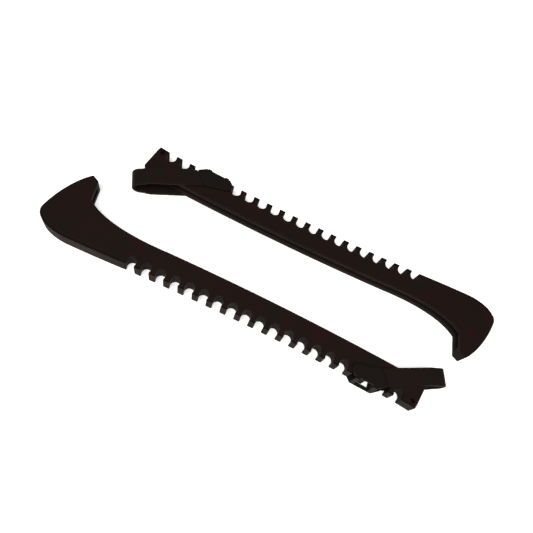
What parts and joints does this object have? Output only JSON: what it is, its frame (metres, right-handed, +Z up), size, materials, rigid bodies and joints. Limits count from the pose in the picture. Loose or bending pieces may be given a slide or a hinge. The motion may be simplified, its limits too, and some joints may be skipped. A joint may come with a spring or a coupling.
{
  "type": "skate blade guards",
  "caption": "Notched rubber walking guards for hockey skate blades, as a pair, each with a hooked toe pocket, a blade slot and a heel strap on a sliding saddle.",
  "frame": {"origin": "on the ground, under the middle of the box round the pair", "axes": "+X along the front guard towards its tail, +Y from the front guard towards the rear guard, +Z up through the guards' thickness"},
  "size_m": [0.3836, 0.1219, 0.0212],
  "materials": {
    "guard_rubber": "satin moulded",
    "saddle_rubber": "satin moulded",
    "strap_rubber": "smooth semi-gloss"
  },
  "bodies": {
    "front_guard": {"front_guard_body": "guard_rubber"},
    "front_saddle": {"front_saddle": "saddle_rubber"},
    "front_strap": {"front_heel_strap": "strap_rubber"},
    "rear_guard": {"rear_guard_body": "guard_rubber"},
    "rear_saddle": {"rear_saddle": "saddle_rubber"},
    "rear_strap": {"rear_heel_strap": "strap_rubber"}
  },
  "joints": [
    {"name": "pair_lift", "type": "slide", "parent": "front_guard", "child": "rear_guard", "axis": [0, 0, 1], "range_m": [0, 0.15]},
    {"name": "front_saddle_slide", "type": "slide", "parent": "front_guard", "child": "front_saddle", "axis": [0.9993, -0.0358, 0.0108], "range_m": [-0.0325, 0]},
    {"name": "front_strap_flex", "type": "hinge", "parent": "front_saddle", "child": "front_strap", "pos_m": [0.10673, -0.04272, 0.01072], "axis": [-0.0108, 0, 0.9999], "range_deg": [0, 30], "stiffness_Nm_per_rad": 0.05},
    {"name": "rear_saddle_slide", "type": "slide", "parent": "rear_guard", "child": "rear_saddle", "axis": [-0.9999, -0.0015, 0.0108], "range_m": [-0.0175, 0.015]},
    {"name": "rear_strap_flex", "type": "hinge", "parent": "rear_saddle", "child": "rear_strap", "pos_m": [-0.09275, 0.03327, 0.01056], "axis": [0.0108, 0.0003, 0.9999], "range_deg": [0, 30], "stiffness_Nm_per_rad": 0.05}
  ]
}
